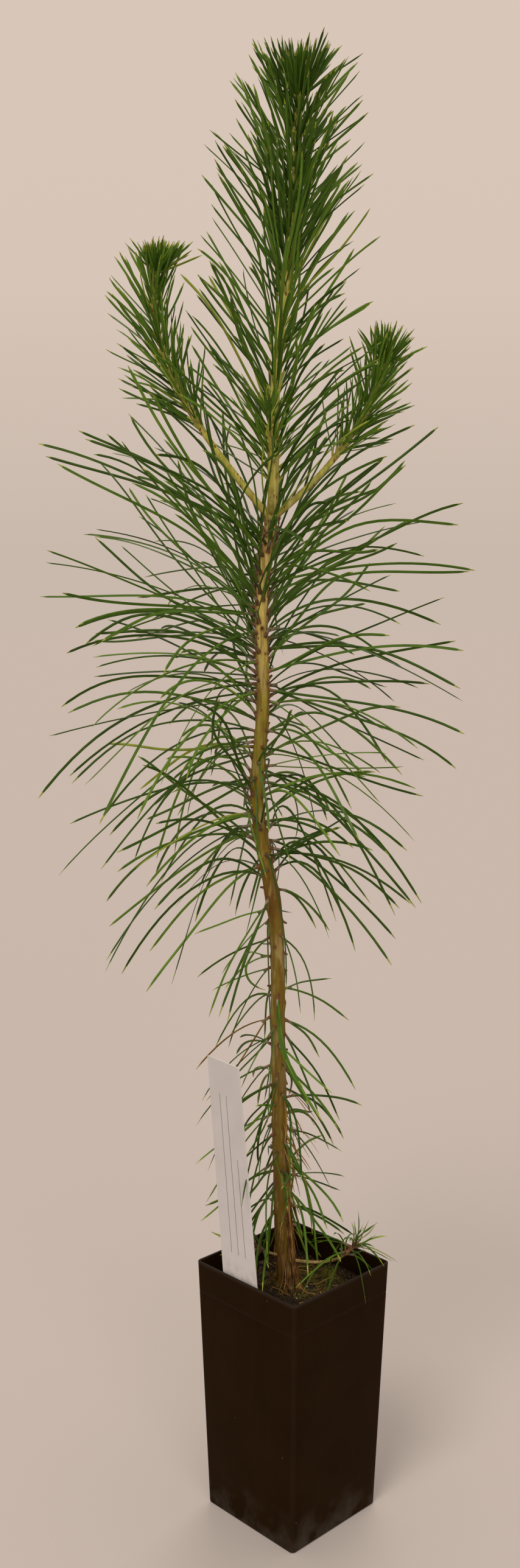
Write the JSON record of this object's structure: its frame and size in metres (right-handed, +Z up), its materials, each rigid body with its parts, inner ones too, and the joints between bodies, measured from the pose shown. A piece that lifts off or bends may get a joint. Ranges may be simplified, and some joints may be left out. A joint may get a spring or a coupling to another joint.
{
  "type": "potted japanese black pine",
  "caption": "Young pine seedling with a tall leader, side boughs and long paired needles, in a slim square nursery pot with a blank plant label.",
  "frame": {"origin": "middle of the pot's flat underside", "axes": "+Z up along the trunk; -Y towards the front corner of the square pot"},
  "size_m": [0.2083, 0.2096, 0.7528],
  "materials": {
    "pot_plastic": "moulded, satin, dusty near the foot",
    "soil_mix": "coarse damp bark mix",
    "label_plastic": "smooth",
    "bark": "scaly young bark",
    "green_wood": "green shoot, satin",
    "twig": "thin bark",
    "needles_dark": "satin needle",
    "needles_fresh": "satin needle"
  },
  "bodies": {
    "root": {"pot": "pot_plastic", "soil": "soil_mix", "label": "label_plastic", "trunk": "bark", "bough_left": "green_wood", "bough_right": "green_wood", "bough_front": "green_wood", "basal_shoot_right": "twig", "basal_shoot_left": "twig", "leader_needles_top": "needles_fresh", "leader_needles_lower": "needles_fresh", "bough_left_needles": "needles_fresh", "bough_right_needles": "needles_fresh", "bough_front_needles": "needles_fresh", "trunk_needles_upper": "needles_dark", "trunk_needles_lower": "needles_dark", "foot_needles": "needles_dark", "basal_needles_right": "needles_dark", "basal_needles_left": "needles_dark"}
  },
  "joints": []
}
